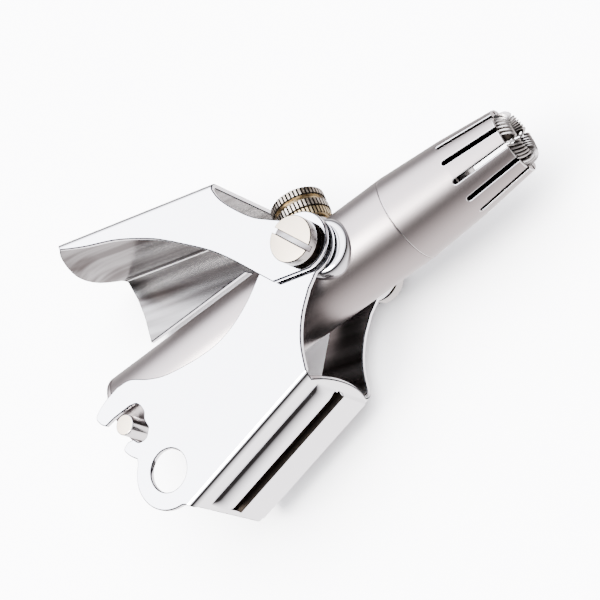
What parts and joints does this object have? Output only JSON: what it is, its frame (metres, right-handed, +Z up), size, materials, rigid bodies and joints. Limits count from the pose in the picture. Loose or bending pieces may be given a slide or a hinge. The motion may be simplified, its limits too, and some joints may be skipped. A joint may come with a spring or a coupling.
{
  "type": "nose hair trimmer",
  "caption": "Hand-squeezed nose hair trimmer: slotted conical head with a rotary cutter on a steel barrel, driven by two pressed chrome levers on a cross pivot.",
  "frame": {"origin": "centre of the footprint of the bounding box, on the floor under the far pivot screw, with the trimmer lying on its side", "axes": "+X along the barrel toward the cutting head, +Y toward the finger lever, +Z up along the levers' pivot axis"},
  "size_m": [0.0772, 0.0542, 0.026],
  "materials": {
    "satin_steel": "fine satin, brushed round the axis",
    "chrome_sheet": "mirror polished pressed sheet",
    "chrome_collar": "polished",
    "blasted_steel": "bead blasted faces with bright edges",
    "cutter_steel": "ground tool steel",
    "knurled_steel": "nickelled, knurled",
    "inner_steel": "turned",
    "bronze": "turned"
  },
  "bodies": {
    "barrel": {"barrel_tube": "satin_steel", "tail_cap": "satin_steel", "stop_pin": "blasted_steel", "pivot_boss_near": "chrome_collar", "pivot_boss_far": "chrome_collar", "knob_seat": "chrome_collar", "guard_spigot": "cutter_steel", "rear_bearing": "bronze", "front_bearing": "bronze", "return_spring": "inner_steel", "knob_stud": "inner_steel"},
    "finger": {"finger_lever": "chrome_sheet", "pivot_shaft": "inner_steel", "crown_wheel": "bronze", "pivot_screw_near": "blasted_steel", "pivot_screw_far": "blasted_steel"},
    "thumb": {"thumb_lever": "chrome_sheet", "ear_spacer_near": "inner_steel", "ear_spacer_far": "inner_steel"},
    "cutter": {"cutter_rotor": "cutter_steel", "rotor_nut": "cutter_steel", "spindle": "inner_steel", "pinion": "inner_steel"},
    "guard": {"head_guard": "satin_steel"},
    "knob": {"knob_base": "knurled_steel", "knob_rim_lower": "knurled_steel", "knob_waist": "bronze", "knob_rim_upper": "knurled_steel"}
  },
  "joints": [
    {"name": "finger_squeeze", "type": "hinge", "parent": "barrel", "child": "finger", "pos_m": [0.00517, -0.00151, 0.013], "axis": [0, 0, 1], "range_deg": [0, 20], "stiffness_Nm_per_rad": 0.3, "springref_deg": -20.05},
    {"name": "thumb_rock", "type": "hinge", "parent": "barrel", "child": "thumb", "pos_m": [0.00517, -0.00151, 0.013], "axis": [0, 0, 1], "range_deg": [-0.6, 0.6]},
    {"name": "cutter_spin", "type": "hinge", "parent": "barrel", "child": "cutter", "pos_m": [0.02517, -0.00251, 0.013], "axis": [1, 0, 0], "range_deg": [-1, 49]},
    {"name": "guard_pull", "type": "slide", "parent": "barrel", "child": "guard", "axis": [1, 0, 0], "range_m": [0, 0.025]},
    {"name": "knob_turn", "type": "hinge", "parent": "barrel", "child": "knob", "pos_m": [0.00287, 0.00749, 0.013], "axis": [0, 1, 0], "range_deg": [-180, 180]}
  ],
  "couplings": [
    {"joint": "cutter_spin", "follows": "finger_squeeze", "ratio": 2.4}
  ]
}
